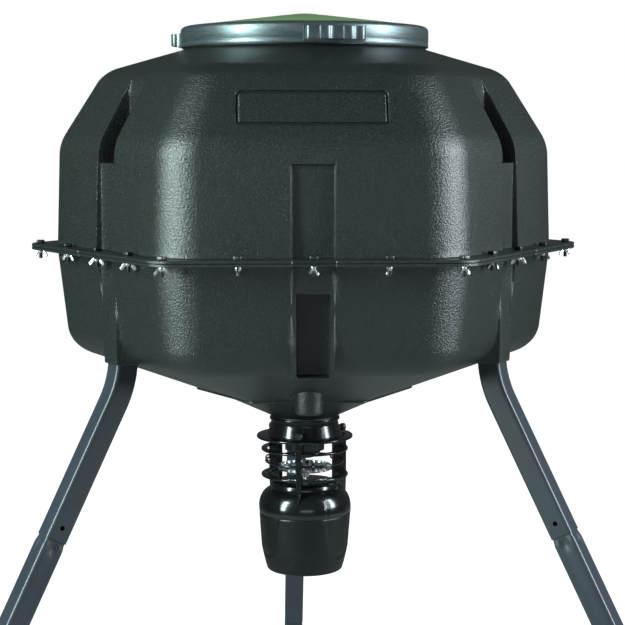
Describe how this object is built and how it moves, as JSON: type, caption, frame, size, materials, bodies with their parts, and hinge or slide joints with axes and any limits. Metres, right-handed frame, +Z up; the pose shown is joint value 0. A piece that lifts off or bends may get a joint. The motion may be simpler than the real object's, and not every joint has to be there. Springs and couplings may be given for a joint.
{
  "type": "tripod game feeder",
  "caption": "Tripod game feeder: two-part hexagonal hopper with a banded lid, bolted flange, sectional square legs and a caged battery spinner under its outlet.",
  "frame": {"origin": "on the ground, at the middle of the footprint's bounding box; the hopper's axis stands 230 mm in front of it", "axes": "+Z up, the front face with the name plate frame faces -Y, +X to its right"},
  "size_m": [1.6582, 1.4448, 1.6898],
  "materials": {
    "hopper_plastic": "textured dark green moulded plastic",
    "black_nylon": "black nylon-capped head",
    "zinc": "bright zinc plate",
    "lid_plastic": "moss green moulded plastic",
    "band_steel": "grey metallic coat",
    "seal_rubber": "closed-cell seal",
    "bright_steel": "bright",
    "leg_paint": "slate gloss powder coat",
    "foot_rubber": "black",
    "gloss_black": "gloss black",
    "satin_black": "satin black",
    "battery_case": "printed wrap, plain",
    "timer_plastic": "satin grey",
    "lcd": "display window",
    "button_plastic": "satin"
  },
  "bodies": {
    "stand": {"hopper_upper": "hopper_plastic", "hopper_lower": "hopper_plastic", "corner_bolt_1": "black_nylon", "corner_wing_nut_1": "zinc", "corner_bolt_2": "black_nylon", "corner_wing_nut_2": "zinc", "corner_bolt_3": "black_nylon", "corner_wing_nut_3": "zinc", "corner_bolt_4": "black_nylon", "corner_wing_nut_4": "zinc", "corner_bolt_5": "black_nylon", "corner_wing_nut_5": "zinc", "corner_bolt_6": "black_nylon", "corner_wing_nut_6": "zinc", "upper_leg_1": "leg_paint", "middle_leg_1": "leg_paint", "lower_leg_1": "leg_paint", "leg_foot_1": "foot_rubber", "upper_leg_2": "leg_paint", "middle_leg_2": "leg_paint", "lower_leg_2": "leg_paint", "leg_foot_2": "foot_rubber", "upper_leg_3": "leg_paint", "middle_leg_3": "leg_paint", "lower_leg_3": "leg_paint", "leg_foot_3": "foot_rubber", "housing_top": "gloss_black", "guard_frame": "gloss_black", "feed_funnel": "gloss_black", "motor": "zinc", "timer_case": "timer_plastic", "timer_lens": "lcd"},
    "lid": {"lid_top": "lid_plastic", "lid_band": "band_steel", "lid_gasket": "seal_rubber", "latch_bracket_1": "band_steel", "latch_pin_1": "bright_steel", "latch_bracket_2": "band_steel", "latch_pin_2": "bright_steel", "latch_bracket_3": "band_steel", "latch_pin_3": "bright_steel"},
    "spinner": {"spinner_plate": "bright_steel", "spinner_hub": "zinc", "hub_set_screw": "bright_steel", "motor_shaft": "bright_steel"},
    "battery_cup": {"housing_cup": "satin_black", "battery": "battery_case", "battery_terminal_1": "bright_steel", "battery_terminal_2": "bright_steel"},
    "latch_1": {"latch_lever_1": "band_steel"},
    "button_1": {"timer_button_1": "button_plastic"},
    "clamp_screw_1": {"thumb_screw_1": "foot_rubber"},
    "latch_2": {"latch_lever_2": "band_steel"},
    "button_2": {"timer_button_2": "button_plastic"},
    "clamp_screw_2": {"thumb_screw_2": "foot_rubber"},
    "latch_3": {"latch_lever_3": "band_steel"},
    "button_3": {"timer_button_3": "button_plastic"},
    "clamp_screw_3": {"thumb_screw_3": "foot_rubber"}
  },
  "joints": [
    {"name": "lid_lift", "type": "slide", "parent": "stand", "child": "lid", "axis": [0, 0, 1], "range_m": [0, 0.3]},
    {"name": "spinner_spin", "type": "hinge", "parent": "stand", "child": "spinner", "pos_m": [0, -0.2303, 0.9], "axis": [0, 0, 1], "continuous": true},
    {"name": "cup_removal", "type": "slide", "parent": "stand", "child": "battery_cup", "axis": [0, 0, -1], "range_m": [0, 0.12]},
    {"name": "latch_1_swing", "type": "hinge", "parent": "lid", "child": "latch_1", "pos_m": [0.04137, -0.44312, 1.6394], "axis": [0.9816, 0.1908, 0], "range_deg": [0, 30]},
    {"name": "latch_2_swing", "type": "hinge", "parent": "lid", "child": "latch_2", "pos_m": [-0.20499, -0.15972, 1.6394], "axis": [-0.3256, -0.9455, 0], "range_deg": [0, 30]},
    {"name": "latch_3_swing", "type": "hinge", "parent": "lid", "child": "latch_3", "pos_m": [0.16362, -0.08807, 1.6394], "axis": [-0.6561, 0.7547, 0], "range_deg": [0, 30]},
    {"name": "timer_button_1_press", "type": "slide", "parent": "stand", "child": "button_1", "axis": [0, 1, 0], "range_m": [0, 0.0015], "stiffness_N_per_m": 400},
    {"name": "timer_button_2_press", "type": "slide", "parent": "stand", "child": "button_2", "axis": [0, 1, 0], "range_m": [0, 0.0015], "stiffness_N_per_m": 400},
    {"name": "timer_button_3_press", "type": "slide", "parent": "stand", "child": "button_3", "axis": [0, 1, 0], "range_m": [0, 0.0015], "stiffness_N_per_m": 400},
    {"name": "thumb_screw_1_turn", "type": "hinge", "parent": "stand", "child": "clamp_screw_1", "pos_m": [-0.01215, -0.29924, 0.979], "axis": [-0.1736, -0.9848, 0], "continuous": true},
    {"name": "thumb_screw_2_turn", "type": "hinge", "parent": "stand", "child": "clamp_screw_2", "pos_m": [0.06578, -0.20636, 0.979], "axis": [0.9397, 0.342, 0], "continuous": true},
    {"name": "thumb_screw_3_turn", "type": "hinge", "parent": "stand", "child": "clamp_screw_3", "pos_m": [-0.05362, -0.1853, 0.979], "axis": [-0.766, 0.6428, 0], "continuous": true}
  ]
}
